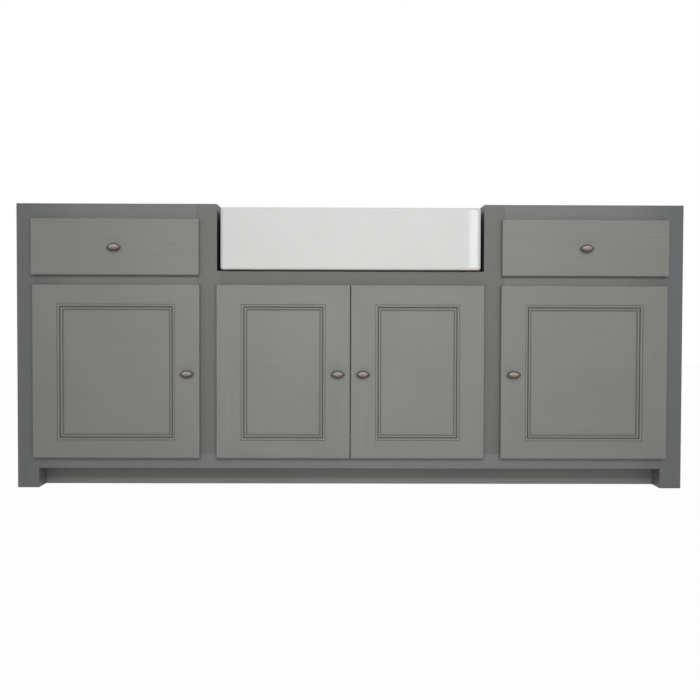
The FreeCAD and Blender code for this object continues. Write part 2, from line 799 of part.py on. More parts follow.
def make_hinge_arm():
    """The arm, drawn with the door's hinge edge at X zero and its middle at Z zero."""
    body = new_body("hinge_arm_body")
    half_metal = size.arm_metal / 2
    pin_x = -hinge_pin_inset
    eye = circles(body, "arm_eye", "XY_Plane", [(pin_x, hinge_pin_y)], eye_radius)
    pad(body, eye, size.arm_width, both_ways=True)
    riser_x = pin_x - size.arm_reach
    outer_x = riser_x - size.arm_metal
    stile_x = -size.front_overlay
    strap_y = face_y + size.arm_entry
    neck = [
        (pin_x, hinge_pin_y - half_metal), (pin_x, hinge_pin_y + half_metal),
        (riser_x, hinge_pin_y + half_metal), (riser_x, strap_y), (stile_x, strap_y),
        (stile_x, strap_y + size.arm_metal), (outer_x, strap_y + size.arm_metal),
        (outer_x, hinge_pin_y - half_metal)]
    pad(body, outline(body, "arm_neck", "XY_Plane", neck), size.arm_width, both_ways=True)
    plate_y = (face_y + size.arm_plate_margin, frame_back_y - size.arm_plate_margin)
    plate = outline(body, "arm_plate", "XY_Plane", rectangle((stile_x - size.arm_metal, stile_x), plate_y))
    pad(body, plate, size.arm_plate_height, both_ways=True)

    def bend(box):
        at_riser = any(near(box.XMin, x) for x in (riser_x, outer_x))
        return along(box, "z") and at_riser

    rounded(body, "arm_bends", bend, size.arm_bend_radius)
    bore = circles(
        body, "arm_bore", "XY_Plane", [(pin_x, hinge_pin_y)], size.hinge_pin_radius + size.hinge_pin_play)
    pocket(body, bore, size.arm_width, both_ways=True)
    middle_y = (plate_y[0] + plate_y[1]) / 2
    centres = [(middle_y, size.arm_hole_spacing * share) for share in HOLE_PAIR_SHARES]
    holes = circles(body, "arm_holes", "YZ_Plane", centres, size.arm_hole_radius, stile_x)
    pocket(body, holes, size.arm_metal)
    return body


# Knobs

# Each ring of the pointed oval head, from the rim's back to the top of the dome: how far it stands off
# the front, as a share of the knob's reach, and its size as a share of the rim's.
HEAD_RING_SHARES = [
    (0.5, 0.84), (0.56, 1), (0.64, 1), (0.68, 0.9), (0.7, 0.8), (0.86, 0.66), (0.95, 0.42), (1, 0.16)]


def make_knob():
    """A knob with a pointed oval head, drawn on the front at X and Z zero."""
    body = new_body("knob_body")
    foot = circles(body, "knob_foot", "XZ_Plane", [(0, 0)], size.knob_foot_radius, -front_y)
    pad(body, foot, size.knob_foot_thick)
    rings = []
    for number, (reach_share, outline_share) in enumerate(HEAD_RING_SHARES):
        tip_x = size.knob_width * (outline_share / 2)
        bow_radius = size.knob_bow_radius * outline_share
        rings.append(outline(
            body, f"knob_ring_{number}", "XZ_Plane", [(-tip_x, 0), (tip_x, 0)],
            size.knob_projection * reach_share - front_y, [(0, bow_radius), (1, bow_radius)]))
    neck = circles(body, "knob_neck", "XZ_Plane", [(0, 0)], size.knob_neck_radius, -front_y)
    pad(body, neck, size.knob_projection * HEAD_RING_SHARES[1][0])
    head = body.newObject("PartDesign::AdditiveLoft", "knob_head")
    head.Profile = rings[0]
    head.Sections = rings[1:]
    head.Ruled = True
    doc.recompute()
    return body


# Drawers

def channel(name, web_x, flange_x, half_height, start_y, length):
    """A C-shaped steel member: its web stands at web_x, and its flanges run on to flange_x."""
    body = new_body(name)
    metal = size.runner_metal
    toward = 1 if value_of(flange_x) > value_of(web_x) else -1
    web_inner_x = metal * toward + web_x
    lower, upper = -half_height, half_height
    corners = [
        (web_x, lower), (flange_x, lower), (flange_x, lower + metal), (web_inner_x, lower + metal),
        (web_inner_x, upper - metal), (flange_x, upper - metal), (flange_x, upper), (web_x, upper)]
    if toward < 0:
        corners = corners[::-1]
    profile = outline(body, f"{name}_profile", "XZ_Plane", corners, -start_y)
    pad(body, profile, length, reverse=True)
    return body


def make_runner(start_y, length):
    """One telescopic runner on the partition's face, drawn at X zero and with its middle at Z zero."""
    metal, play = size.runner_metal, size.runner_play
    nest = metal + play
    far_x = size.runner_space
    outer = channel("runner_outer", 0, far_x - nest, size.runner_height / 2, start_y, length)
    middle = channel("runner_middle", nest, far_x - nest, size.runner_height / 2 - nest, start_y, length)
    inner = channel("runner_inner", far_x, nest * 2, size.runner_height / 2 - nest * 2, start_y, length)
    return outer, middle, inner


def dovetailed_side(name, x, y, z):
    """A drawer side with dovetails at both ends, which the front and back boards are cut to fit."""
    thick = x[1] - x[0]
    pitch = (z[1] - z[0]) / DOVETAILS
    half_pin = size.dovetail_pin / 2
    half_root = half_pin + size.dovetail_flare

    def tail_corners(end_y, base_y):
        """The corners of one end's tails, from the bottom up."""
        corners = [(base_y, z[0])]
        for number in range(DOVETAILS):
            low = pitch * number + z[0]
            high = low + pitch
            corners += [(base_y, low + half_root), (end_y, low + half_pin),
                        (end_y, high - half_pin), (base_y, high - half_root)]
        return corners + [(base_y, z[1])]

    body = new_body(name)
    front = tail_corners(y[0], y[0] + thick)
    back = tail_corners(y[1], y[1] - thick)
    pad(body, outline(body, f"{name}_outline", "YZ_Plane", back + front[::-1], x[0]), thick)
    return body


def make_drawers():
    low_z = drawer_opening_z + size.drawer_lift
    high_z = top_rail_z - size.drawer_head_room
    left_x = side_opening_x + size.runner_space
    right_x = end_stile_x - size.runner_space
    box_back_y = rear_rail_y - size.drawer_back_gap
    side = size.drawer_side_thick
    middle_x = (side_opening_x + end_stile_x) / 2
    middle_z = (low_z + high_z) / 2

    front_x = (side_opening_x - size.drawer_inner_overlay, end_stile_x + size.drawer_outer_overlay)
    front_z = (drawer_opening_z - size.front_overlay, top_rail_z + size.front_overlay)
    front = new_body("drawer_front_body")
    front_outline = outline(
        front, "drawer_front_outline", "XZ_Plane", rectangle(front_x, front_z), -front_back_y)
    pad(front, front_outline, size.front_thick)
    rounded(front, "drawer_front_arrises",
            lambda box: any(near(box.YMin, y) and near(box.YMax, y) for y in (front_y, front_back_y)),
            size.arris_radius)
    keep_pair("left_drawer_front", "right_drawer_front", front)

    between_x = (left_x + side, right_x - side)
    between_y = (front_back_y + side, box_back_y - side)
    bottom_z = low_z + size.drawer_bottom_rise
    deep = size.drawer_groove_depth
    groove = board(
        "drawer_groove", (between_x[0] - deep, between_x[1] + deep),
        (between_y[0] - deep, between_y[1] + deep), (bottom_z, bottom_z + size.drawer_bottom_thick))
    left_tails = dovetailed_side(
        "drawer_side_blank", (left_x, left_x + side), (front_back_y, box_back_y), (low_z, high_z))
    right_tails = mirrored("drawer_other_side_blank", left_tails, middle_x)
    walls = [cut("drawer_left_side", left_tails, [groove]), cut("drawer_right_side", right_tails, [groove])]
    ends = (("front", front_back_y, between_y[0]), ("back", between_y[1], box_back_y))
    for end, near_y, far_y in ends:
        blank = board(f"drawer_{end}_blank", (left_x, right_x), (near_y, far_y), (low_z, high_z))
        walls.append(cut(f"drawer_{end}_pins", blank, [left_tails, right_tails, groove]))
    keep_pair("left_drawer_box", "right_drawer_box", group("drawer_walls", walls))

    hidden = deep - size.panel_float
    bottom = board(
        "drawer_bottom", (between_x[0] - hidden, between_x[1] + hidden),
        (between_y[0] - hidden, between_y[1] + hidden),
        (bottom_z, bottom_z + size.drawer_bottom_thick))
    keep_pair("left_drawer_bottom", "right_drawer_bottom", bottom)
    knob_x = (front_x[0] + front_x[1]) / 2
    keep_pair("left_drawer_knob", "right_drawer_knob", copied("drawer_knob", knob, knob_x, 0, middle_z))

    start_y = front_back_y + size.runner_front_gap
    members = make_runner(start_y, box_back_y - size.runner_back_gap - start_y)
    pairs = []
    for member in members:
        placed = copied(f"{member.Name}_placed", member, side_opening_x, 0, middle_z)
        pairs.append(group(f"{member.Name}_pair", [placed, mirrored(f"{member.Name}_other", placed, middle_x)]))
    both_sides("runner_outer_members", pairs[0])
    keep_pair("left_drawer_middle_runners", "right_drawer_middle_runners", pairs[1])
    keep_pair("left_drawer_inner_runners", "right_drawer_inner_runners", pairs[2])

    half_packer = size.packer_height / 2
    packer = board(
        "packer", (end_stile_x, end_panel_x), (frame_back_y, box_back_y),
        (middle_z - half_packer, middle_z + half_packer))
    both_sides("runner_packers", packer)
    bumper_z = drawer_opening_z - size.front_overlay / 2
    return [bumper(f"drawer_bumper_{number}", x, bumper_z)
            for number, x in enumerate((side_opening_x + size.bumper_inset, end_stile_x - size.bumper_inset))]


make_sides()
make_floor_boards()
make_back()
make_stretchers()
make_shelves()
make_frame()
make_sink()
make_sink_supports()

hinge_cup = make_hinge_cup()
hinge_arm = make_hinge_arm()
knob = make_knob()
outer_arms, outer_bumpers = make_door(
    "left_door", "right_door", side_opening_x - size.front_overlay, end_stile_x + size.front_overlay)
centre_arms, centre_bumpers = make_door(
    "centre_left_door", "centre_right_door", size.meeting_gap / 2, bay_x + size.front_overlay)
both_sides("hinge_arms", group("right_hinge_arms", outer_arms + centre_arms))
drawer_bumpers = make_drawers()
both_sides("door_bumpers", group("right_bumpers", outer_bumpers + centre_bumpers + drawer_bumpers))

doc.recompute()
for thing in doc.Objects:
    if "Invalid" in thing.State or "Error" in thing.State:
        raise RuntimeError(f"{thing.Label} failed: {thing.State}")
os.makedirs("parts", exist_ok=True)
for piece in nodes:
    if piece.Shape.isNull() or not piece.Shape.isValid():
        raise RuntimeError(f"{piece.Label} has no sound shape")
for piece in nodes:
    Part.makeCompound(piece.Shape.Solids).exportStep(f"parts/{piece.Label}.step")
print(len(nodes), "pieces written")
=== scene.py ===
import bpy
import bmesh
import math
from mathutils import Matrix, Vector


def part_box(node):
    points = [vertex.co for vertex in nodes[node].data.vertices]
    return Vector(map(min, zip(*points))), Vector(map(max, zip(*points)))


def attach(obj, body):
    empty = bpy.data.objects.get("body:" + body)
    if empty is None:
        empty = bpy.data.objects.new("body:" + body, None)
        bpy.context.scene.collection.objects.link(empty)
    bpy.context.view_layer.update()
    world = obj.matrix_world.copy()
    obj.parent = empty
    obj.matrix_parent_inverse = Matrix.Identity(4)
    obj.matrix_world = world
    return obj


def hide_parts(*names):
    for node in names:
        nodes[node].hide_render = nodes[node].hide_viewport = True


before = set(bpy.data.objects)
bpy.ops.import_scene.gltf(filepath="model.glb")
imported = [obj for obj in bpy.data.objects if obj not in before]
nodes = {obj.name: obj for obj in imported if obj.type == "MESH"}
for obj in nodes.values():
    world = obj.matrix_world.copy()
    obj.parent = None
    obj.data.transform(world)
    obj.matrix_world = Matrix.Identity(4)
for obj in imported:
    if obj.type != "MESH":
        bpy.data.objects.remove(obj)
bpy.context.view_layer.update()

# Lengths in metres, the front of the face frame, and the fronts that move
MM = 0.001
FACE_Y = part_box("end_stile_right")[0].y
DOORS = ("left_door", "centre_left_door", "centre_right_door", "right_door")
DRAWERS = ("left_drawer", "right_drawer")


# Camera

CAMERA_DISTANCE = 3.3676
CAMERA_SIDE = -0.0267
CAMERA_HEIGHT = 0.525
CAMERA_LENS = 56.47
CAMERA_TURN = (88.293, -0.165, -0.431)


def make_camera():
    data = bpy.data.cameras.new("photo_camera")
    data.lens = CAMERA_LENS
    data.sensor_width = 36
    camera = bpy.data.objects.new("photo_camera", data)
    camera.location = (CAMERA_SIDE, FACE_Y - CAMERA_DISTANCE, CAMERA_HEIGHT)
    camera.rotation_euler = [math.radians(angle) for angle in CAMERA_TURN]
    bpy.context.scene.collection.objects.link(camera)
    bpy.context.scene.camera = camera


# Shader nodes

def srgb(red, green, blue):
    """A screen colour of 0 to 255 as the linear colour that a shader takes."""
    def linear(level):
        share = level / 255
        return share / 12.92 if share <= 0.04045 else ((share + 0.055) / 1.055) ** 2.4
    return (linear(red), linear(green), linear(blue), 1)


def shaded(colour, share):
    return (colour[0] * share, colour[1] * share, colour[2] * share, 1)


class Tree:
    """A node tree with short calls for the nodes that the cabinet's finishes use."""

    def __init__(self, tree):
        self.nodes = tree.nodes
        self.links = tree.links

    def add(self, kind, **settings):
        node = self.nodes.new(kind)
        for name, value in settings.items():
            setattr(node, name, value)
        return node

    def feed(self, socket, source):
        """Joins a socket to another node's output, or sets its value."""
        if isinstance(source, bpy.types.NodeSocket):
            self.links.new(source, socket)
        else:
            socket.default_value = source

    def sum(self, operation, *values, clamp=False):
        node = self.add("ShaderNodeMath", operation=operation, use_clamp=clamp)
        for socket, value in zip(node.inputs, values):
            self.feed(socket, value)
        return node.outputs[0]

    def times(self, first, second):
        return self.sum("MULTIPLY", first, second)

    def between(self, value, low, high, to_low=0.0, to_high=1.0):
        node = self.add("ShaderNodeMapRange")
        for socket, source in zip(node.inputs, (value, low, high, to_low, to_high)):
            self.feed(socket, source)
        return node.outputs[0]

    def ridge(self, value, middle, half):
        """1 where a value is at the middle, falling to 0 at half to either side."""
        away = self.sum("ABSOLUTE", self.sum("SUBTRACT", value, middle))
        return self.between(away, half, 0)

    def mix(self, share, first, second):
        node = self.add("ShaderNodeMix", data_type="RGBA")
        self.feed(node.inputs[0], share)
        self.feed(node.inputs[6], first)
        self.feed(node.inputs[7], second)
        return node.outputs[2]

    def blend(self, share, first, second):
        """Goes from one value to another, as mix does for colours."""
        node = self.add("ShaderNodeMix", data_type="FLOAT")
        self.feed(node.inputs[0], share)
        self.feed(node.inputs[2], first)
        self.feed(node.inputs[3], second)
        return node.outputs[0]

    def stretched(self, vector, scale, turn=(0, 0, 0)):
        node = self.add("ShaderNodeMapping")
        self.feed(node.inputs["Vector"], vector)
        self.feed(node.inputs["Rotation"], [math.radians(angle) for angle in turn])
        self.feed(node.inputs["Scale"], scale)
        return node.outputs[0]

    def dot(self, first, second):
        node = self.add("ShaderNodeVectorMath", operation="DOT_PRODUCT")
        self.feed(node.inputs[0], first)
        self.feed(node.inputs[1], second)
        return node.outputs["Value"]

    def noise(self, vector, scale, detail=3.0, roughness=0.55, distortion=0.0):
        node = self.add("ShaderNodeTexNoise")
        for name, source in (("Vector", vector), ("Scale", scale), ("Detail", detail),
                             ("Roughness", roughness), ("Distortion", distortion)):
            self.feed(node.inputs[name], source)
        return node.outputs["Fac"]

    def axes(self, vector):
        node = self.add("ShaderNodeSeparateXYZ")
        self.feed(node.inputs[0], vector)
        return node.outputs

    def place(self):
        return self.add("ShaderNodeTexCoord").outputs["Object"]

    def facing(self):
        return self.add("ShaderNodeTexCoord").outputs["Normal"]


SOCKETS = {"vector": "NodeSocketVector", "value": "NodeSocketFloat", "colour": "NodeSocketColor"}


def new_group(name, inputs, outputs):
    """A node group with named sockets: gives the group, its tree, and its inputs and outputs by name."""
    group = bpy.data.node_groups.new(name, "ShaderNodeTree")
    for socket, kind in inputs:
        group.interface.new_socket(socket, in_out="INPUT", socket_type=SOCKETS[kind])
    for socket, kind in outputs:
        group.interface.new_socket(socket, in_out="OUTPUT", socket_type=SOCKETS[kind])
    tree = Tree(group)
    return group, tree, tree.add("NodeGroupInput").outputs, tree.add("NodeGroupOutput").inputs


def use_group(tree, group, **inputs):
    """Places a group. Its inputs' names have a space where the names given here have an underscore."""
    node = tree.add("ShaderNodeGroup", node_tree=group)
    for name, source in inputs.items():
        tree.feed(node.inputs[name.replace("_", " ")], source)
    return node.outputs


# How fast each pattern changes across and along its lines, per metre
FINE_STREAKS = (520, 9)
WIDE_STREAKS = (130, 2.4)
ORANGE_PEEL = 700
FIBRES = (900, 12)
PORES = (1500, 45)
DRIFT = (3, 0.8)
BROAD_GROWTH = (7, 0.9)


def upright_scale(across, along):
    return (across, across, along)


def level_scale(across, along):
    return (along, across, across)


def brush_marks_group():
    """Fine streaks of a brush, drawn upright or across, and the low ridges that they leave."""
    group, tree, given, out = new_group(
        "brush marks", [("Place", "vector"), ("Across", "value")],
        [("Streaks", "value"), ("Bands", "value"), ("Height", "value")])
    place = given["Place"]
    upright = tree.noise(tree.stretched(place, upright_scale(*FINE_STREAKS)), 1, 4)
    across = tree.noise(tree.stretched(place, level_scale(*FINE_STREAKS)), 1, 4)
    streaks = tree.between(tree.blend(given["Across"], upright, across), 0.32, 0.68)
    wide_upright = tree.noise(tree.stretched(place, upright_scale(*WIDE_STREAKS)), 1, 3)
    wide_across = tree.noise(tree.stretched(place, level_scale(*WIDE_STREAKS)), 1, 3)
    bands = tree.between(tree.blend(given["Across"], wide_upright, wide_across), 0.34, 0.66)
    peel = tree.noise(place, ORANGE_PEEL, 2)
    tree.feed(out["Streaks"], streaks)
    tree.feed(out["Bands"], bands)
    tree.feed(out["Height"], tree.sum("ADD", tree.times(streaks, 0.7), tree.times(peel, 0.3)))
    return group


def mottle_group():
    """Broad soft clouds and a finer speckle."""
    group, tree, given, out = new_group(
        "mottle", [("Place", "vector"), ("Scale", "value")], [("Clouds", "value"), ("Speckle", "value")])
    clouds = tree.noise(given["Place"], given["Scale"], 3, 0.5, 0.4)
    speckle = tree.noise(given["Place"], tree.times(given["Scale"], 60), 2)
    tree.feed(out["Clouds"], tree.between(clouds, 0.3, 0.7))
    tree.feed(out["Speckle"], tree.between(speckle, 0.35, 0.75))
    return group


def wood_grain_group():
    """Wood with its grain along Z of the given place: growth bands, narrow or soft, fine fibres and pores."""
    group, tree, given, out = new_group(
        "wood grain", [("Place", "vector"), ("Band Scale", "value"), ("Narrow", "value")],
        [("Bands", "value"), ("Fibres", "value"), ("Pores", "value")])
    place = given["Place"]
    drift = tree.noise(tree.stretched(place, upright_scale(*DRIFT)), 1, 2)
    rings = tree.add("ShaderNodeTexWave", wave_type="BANDS", bands_direction="X", wave_profile="SIN")
    tree.feed(rings.inputs["Vector"], tree.stretched(place, (1, 1.6, 0.07)))
    tree.feed(rings.inputs["Scale"], given["Band Scale"])
    tree.feed(rings.inputs["Distortion"], tree.sum("MULTIPLY_ADD", drift, 8, 4.5))
    tree.feed(rings.inputs["Detail"], 2.5)
    tree.feed(rings.inputs["Detail Scale"], 1.2)
    fibres = tree.noise(tree.stretched(place, upright_scale(*FIBRES)), 1, 3)
    pores = tree.noise(tree.stretched(place, upright_scale(*PORES)), 1, 2)
    clouds = tree.between(tree.noise(tree.stretched(place, upright_scale(*BROAD_GROWTH)), 1, 2), 0.3, 0.7)
    bands = tree.sum("POWER", rings.outputs["Fac"], given["Narrow"])
    tree.feed(out["Bands"], tree.sum("MULTIPLY_ADD", clouds, 0.35, tree.times(bands, 0.65)))
    tree.feed(out["Fibres"], tree.between(fibres, 0.35, 0.65))
    tree.feed(out["Pores"], tree.between(pores, 0.60, 0.72))
    return group


def end_grain_group():
    """Where a face cuts across one direction, such as the grain, with the flecks that show there."""
    group, tree, given, out = new_group(
        "end grain", [("Place", "vector"), ("Facing", "vector"), ("Along", "vector")],
        [("Cut", "value"), ("Flecks", "value")])
    across = tree.sum("ABSOLUTE", tree.dot(given["Facing"], given["Along"]))
    tree.feed(out["Cut"], tree.between(across, 0.6, 0.8))
    tree.feed(out["Flecks"], tree.between(tree.noise(given["Place"], 1300, 2), 0.42, 0.62))
    return group


VENEER = 1.5 * MM
VENEER_WAVER = 0.6 * MM


def veneers_group():
    """The stacked veneers of a plywood edge, counted along the board's thickness."""
    group, tree, given, out = new_group(
        "veneers", [("Place", "vector"), ("Facing", "vector"), ("Thickness", "vector")],
        [("Edge", "value"), ("Layers", "value"), ("Flecks", "value")])
    turned = tree.sum("ABSOLUTE", tree.dot(given["Facing"], given["Thickness"]))
    depth = tree.dot(given["Place"], given["Thickness"])
    waver = tree.times(tree.noise(given["Place"], 60, 1), VENEER_WAVER)
    layers = tree.sum("PINGPONG", tree.sum("ADD", depth, waver), VENEER)
    tree.feed(out["Edge"], tree.between(turned, 0.8, 0.6))
    tree.feed(out["Layers"], tree.between(layers, 0.4 * VENEER, 0.6 * VENEER))
    tree.feed(out["Flecks"], tree.between(tree.noise(given["Place"], 900, 3), 0.4, 0.65))
    return group


def fine_scratches_group():
    """Short scratches, and the blotches of an old or a plated surface."""
    group, tree, given, out = new_group(
        "fine scratches", [("Place", "vector"), ("Along", "vector")],
        [("Scratches", "value"), ("Tarnish", "value")])
    drawn = tree.add("ShaderNodeVectorMath", operation="MULTIPLY")
    tree.feed(drawn.inputs[0], given["Place"])
    tree.feed(drawn.inputs[1], given["Along"])
    scratches = tree.noise(drawn.outputs[0], 1, 3)
    tarnish = tree.noise(given["Place"], 180, 4, 0.6, 0.5)
    tree.feed(out["Scratches"], tree.between(scratches, 0.35, 0.65))
    tree.feed(out["Tarnish"], tree.between(tarnish, 0.35, 0.65))
    return group


BRUSH_MARKS = brush_marks_group()
MOTTLE = mottle_group()
WOOD_GRAIN = wood_grain_group()
END_GRAIN = end_grain_group()
VENEERS = veneers_group()
FINE_SCRATCHES = fine_scratches_group()


# Finishes

def new_material(name):
    material = bpy.data.materials.new(name)
    material.use_nodes = True
    return material, Tree(material.node_tree), material.node_tree.nodes["Principled BSDF"]


def bump(tree, shader, height, strength, distance):
    node = tree.add("ShaderNodeBump")
    tree.feed(node.inputs["Height"], height)
    node.inputs["Strength"].default_value = strength
    node.inputs["Distance"].default_value = distance
    tree.feed(shader.inputs["Normal"], node.outputs[0])


def inside(tree, value, low, high):
    """1 where a value lies between two others, and else 0."""
    return tree.times(tree.sum("GREATER_THAN", value, low), tree.sum("LESS_THAN", value, high))


# Shares of the paint's own colour: its clouds, and the tones of its brush marks and its specks
CLOUD_TONES = (0.955, 1.035)
BAND_TONE = 0.87
STREAK_TONE = 0.78
SPECK_TONE = 1.2
# How much of the brush is left in the paint of the frame, the doors, the moulding and panels, and the drawers
FRAME_BRUSHED = 0.4
DOOR_BRUSHED = 0.3
SMOOTH_BRUSHED = 0.2
DRAWER_BRUSHED = 0.58
# The strength and the depth of the relief in each kind of surface
PAINT_RELIEF = (0.35, 0.25 * MM)
WOOD_RELIEF = (0.2, 0.3 * MM)
FINE_RELIEF = (0.2, 0.2 * MM)
END_PANEL_RELIEF = (0.25, 0.3 * MM)
PEWTER_RELIEF = (0.25, 0.2 * MM)
GLAZE_RELIEF = (0.15, 0.4 * MM)


def painted(tree, place, colour, across, brushed=FRAME_BRUSHED):
    """The colour, roughness and height of eggshell paint, with more or less of the brush left in it."""
    marks = use_group(tree, BRUSH_MARKS, Place=place, Across=across)
    mottle = use_group(tree, MOTTLE, Place=place, Scale=4)
    clouded = tree.mix(mottle["Clouds"], *[shaded(colour, tone) for tone in CLOUD_TONES])
    banded = tree.mix(tree.times(marks["Bands"], brushed), clouded, shaded(colour, BAND_TONE))
    streaked = tree.mix(tree.times(marks["Streaks"], 0.4 * brushed), banded, shaded(colour, STREAK_TONE))
    flecked = tree.mix(tree.times(mottle["Speckle"], 0.1), streaked, shaded(colour, SPECK_TONE))
    return flecked, tree.between(marks["Streaks"], 0, 1, 0.44, 0.56), marks["Height"]


def wooden(tree, place, wood, band_scale):
    """The colour, roughness and height of clear-finished wood, with its grain along Z of the place."""
    light, dark, pore, narrow = wood
    grain = use_group(tree, WOOD_GRAIN, Place=place, Band_Scale=band_scale, Narrow=narrow)
    banded = tree.mix(grain["Bands"], light, dark)
    fibred = tree.mix(tree.times(grain["Fibres"], 0.35), banded, shaded(light, 1.08))
    colour = tree.mix(tree.times(grain["Pores"], 0.5), fibred, pore)
    return colour, tree.between(grain["Fibres"], 0, 1, 0.42, 0.58), grain["Fibres"]


def finish(tree, shader, colour, roughness, height, relief):
    """Joins a colour, a roughness and a height to the shader, for a relief of a strength and a depth."""
    tree.feed(shader.inputs["Base Color"], colour)
    tree.feed(shader.inputs["Roughness"], roughness)
    bump(tree, shader, height, *relief)


def paint(name, colour, across=0.0, brushed=FRAME_BRUSHED):
    material, tree, shader = new_material(name)
    finish(tree, shader, *painted(tree, tree.place(), colour, across, brushed), PAINT_RELIEF)
    return material


# Where the painted shade towards the cabinet's ends begins and where it is full, measured from the middle
ENDS_SHADED_FROM = 840 * MM
ENDS_SHADED_TO = 1000 * MM


def frame_paint(name, colour, across):
    """Paint on the face frame, with painted shade that darkens it a little towards both ends of the cabinet.
    """
    material, tree, shader = new_material(name)
    place = tree.place()
    coat, roughness, height = painted(tree, place, colour, across)
    from_middle = tree.sum("ABSOLUTE", tree.axes(place)["X"])
    # painted shade, deepest at the cabinet's ends
    end_shade_share = tree.between(from_middle, ENDS_SHADED_FROM, ENDS_SHADED_TO, 0.0, 0.6)
    finish(tree, shader, tree.mix(end_shade_share, coat, PAINTED_END_SHADE), roughness, height, PAINT_RELIEF)
    return material


# Where the painted shadow under the overhang begins on the plinth, as a share of its height, and how far its
# lower edge wanders
PLINTH_SHADOW_FROM = 0.45
PLINTH_SHADOW_WANDER = 20 * MM


def plinth_paint(name, colour, shadow_colour, low, high):
    """Paint with a brown painted shadow under the overhang, deepest at the plinth's top."""
    material, tree, shader = new_material(name)
    place = tree.place()
    coat, roughness, height = painted(tree, place, colour, 1.0)
    shadow_z = low.z + (high.z - low.z) * PLINTH_SHADOW_FROM
    clouds = use_group(tree, MOTTLE, Place=place, Scale=14)["Clouds"]
    wandering = tree.sum("MULTIPLY_ADD", clouds, PLINTH_SHADOW_WANDER, tree.axes(place)["Z"])
    # painted shadow: brownish and darker over the plinth's upper part
    painted_shadow = tree.times(tree.between(wandering, shadow_z, high.z), 0.6)
    finish(tree, shader, tree.mix(painted_shadow, coat, shadow_colour), roughness, height, PAINT_RELIEF)
    return material


def from_borders(tree, value, low, high):
    """How far a value lies inside its two limits."""
    return tree.sum("MINIMUM", tree.sum("SUBTRACT", value, low), tree.sum("SUBTRACT", high, value))


# How far in from a door's upright edges the painted shade of the gap reaches, and its tone
GAP_SHADE_EDGE = 1.4 * MM
GAP_SHADE_TONE = 0.2


def door_paint(name, colour, rails_from, rails_to, side_from, side_to):
    """Paint with strokes up the door's stiles and across its rails, and painted shade on the front along its
    upright edges.
    """
    material, tree, shader = new_material(name)
    place = tree.place()
    spot_x = tree.axes(place)["X"]
    across = inside(tree, spot_x, rails_from, rails_to)
    coat, roughness, height = painted(tree, place, colour, across, DOOR_BRUSHED)
    from_side = from_borders(tree, spot_x, side_from, side_to)
    to_front = tree.between(tree.axes(tree.facing())["Y"], -0.35, -0.65)
    # painted shade of the gaps beside each door, on the front face next to its upright edges
    gap_shade = tree.times(to_front, tree.between(from_side, GAP_SHADE_EDGE, 0.3 * GAP_SHADE_EDGE))
    coat = tree.mix(tree.times(gap_shade, 0.8), coat, shaded(colour, GAP_SHADE_TONE))
    finish(tree, shader, coat, roughness, height, PAINT_RELIEF)
    return material


MOULDING_WIDTH = 18.5 * MM

# Where painted shade lies in the moulding, from the door's frame inwards: the middle and the half width of
# each groove as shares of the moulding's width, and how far its paint goes to the painted shade's tone
MOULDING_GROOVES = [(0.05, 0.09, 0.5), (0.51, 0.16, 0.75), (0.92, 0.12, 0.5)]
GROOVE_SHADE_TONE = 0.12


def moulding_paint(name, colour, low, high):
    """Paint on the ring of moulding, with painted shade in its grooves."""
    material, tree, shader = new_material(name)
    place = tree.place()
    spot = tree.axes(place)
    from_side = from_borders(tree, spot["X"], low.x, high.x)
    from_end = from_borders(tree, spot["Z"], low.z, high.z)
    across = tree.sum("LESS_THAN", from_end, from_side)
    coat, roughness, height = painted(tree, place, colour, across, SMOOTH_BRUSHED)
    inward = tree.sum("MINIMUM", from_side, from_end)
    for middle, half, depth in MOULDING_GROOVES:
        shade = tree.ridge(inward, middle * MOULDING_WIDTH, half * MOULDING_WIDTH)
        # painted shade in each groove
        coat = tree.mix(tree.times(shade, depth), coat, shaded(colour, GROOVE_SHADE_TONE))
    finish(tree, shader, coat, roughness, height, PAINT_RELIEF)
    return material


GRAIN_TURNS = {"X": (0, 90, 0), "Y": (90, 0, 0), "Z": (0, 0, 0)}
AXES = {"X": (1, 0, 0), "Y": (0, 1, 0), "Z": (0, 0, 1)}

# How close the growth bands stand in each kind of board
BOARD_BANDS = 5.0
BOTTOM_BANDS = 7.0
PINE_BANDS = 7.0
OAK_BANDS = 9.0


def plywood(name, wood, grain_axis, thick_axis, band_scale=BOARD_BANDS):
    """Birch plywood: grain on its faces, and the stacked veneers on its edges."""
    material, tree, shader = new_material(name)
    place = tree.place()
    turned = tree.stretched(place, (1, 1, 1), GRAIN_TURNS[grain_axis])
    face, roughness, height = wooden(tree, turned, wood, band_scale)
    finish(tree, shader, veneered(tree, place, face, wood, AXES[thick_axis]), roughness, height, WOOD_RELIEF)
    return material


def veneered(tree, place, face, wood, thickness):
    """Adds the look of a sawn plywood edge to the colour of the board's faces."""
    light, dark, pore, _ = wood
    layers = use_group(tree, VENEERS, Place=place, Facing=tree.facing(), Thickness=thickness)
    edge = tree.mix(layers["Layers"], shaded(light, 0.96), shaded(dark, 0.62))
    flecked = tree.mix(tree.times(layers["Flecks"], 0.35), edge, pore)
    return tree.mix(layers["Edge"], face, flecked)


def end_panel_finish(name, colour, wood):
    """The cabinet's end boards: paint on the outside, and bare veneer and edges elsewhere."""
    material, tree, shader = new_material(name)
    place = tree.place()
    outward = tree.times(tree.axes(place)["X"], tree.axes(tree.facing())["X"])
    outside = tree.between(outward, 0.4, 0.6)
    paint_colour, paint_roughness, paint_height = painted(tree, place, colour, 0.0)
    wood_colour, wood_roughness, wood_height = wooden(tree, place, wood, BOARD_BANDS)
    bare = veneered(tree, place, wood_colour, wood, AXES["X"])
    finish(tree, shader, tree.mix(outside, bare, paint_colour),
           tree.blend(outside, wood_roughness, paint_roughness),
           tree.blend(outside, wood_height, paint_height), END_PANEL_RELIEF)
    return material


